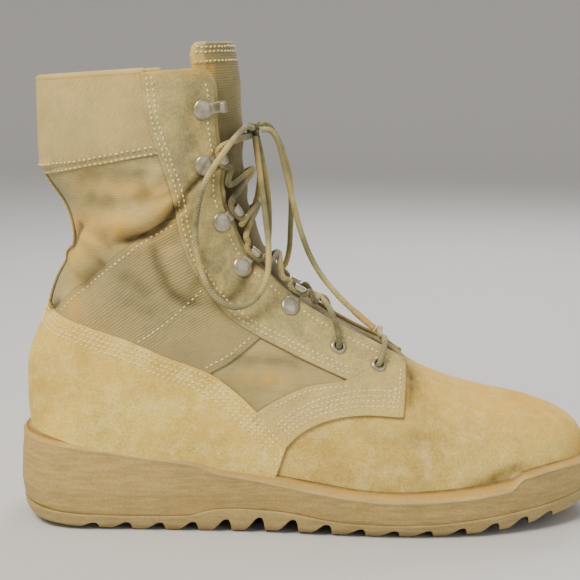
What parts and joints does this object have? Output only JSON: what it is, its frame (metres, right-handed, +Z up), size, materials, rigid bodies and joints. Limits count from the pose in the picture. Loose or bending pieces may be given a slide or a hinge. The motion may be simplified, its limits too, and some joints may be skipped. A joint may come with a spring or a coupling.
{
  "type": "combat boot",
  "caption": "Right lace-up hot-weather combat boot: suede and nylon upper, eyelets and speed hooks, wedge midsole, ripple outsole.",
  "frame": {"origin": "on the floor under the middle of the sole's plan", "axes": "+X to the toe, +Y to the medial side, +Z up"},
  "size_m": [0.3084, 0.1074, 0.252],
  "materials": {
    "outsole_rubber": "moulded tan rubber, dusty, scuffed on the tread's edges",
    "midsole_rubber": "moulded tan rubber with a fine horizontal grain and a worn lip",
    "nylon": "heavy tan nylon cloth, ribbed, with orange staining in its folds",
    "suede": "rough-out tan leather with a soft, mottled nap",
    "lining": "ribbed nylon webbing and knitted lining, olive tan",
    "hardware": "satin grey-tan coated brass",
    "lace": "round braided nylon lace, pale tan with dirt"
  },
  "bodies": {
    "root": {"outsole": "outsole_rubber", "midsole": "midsole_rubber", "insole": "lining", "upper": "nylon", "heel_counter": "suede", "facing_lateral": "suede", "facing_medial": "suede", "tongue": "lining", "eyelet_lateral_1": "hardware", "eyelet_lateral_2": "hardware", "hook_lateral_3": "hardware", "hook_lateral_4": "hardware", "hook_lateral_5": "hardware", "hook_lateral_6": "hardware", "hook_lateral_7": "hardware", "eyelet_medial_1": "hardware", "eyelet_medial_2": "hardware", "hook_medial_3": "hardware", "hook_medial_4": "hardware", "hook_medial_5": "hardware", "hook_medial_6": "hardware", "hook_medial_7": "hardware", "lace_bar": "lace", "lace_crossings": "lace", "lace_knot": "lace", "lace_loop_lateral": "lace", "lace_loop_medial": "lace", "lace_end_lateral": "lace", "lace_end_medial": "lace"}
  },
  "joints": []
}
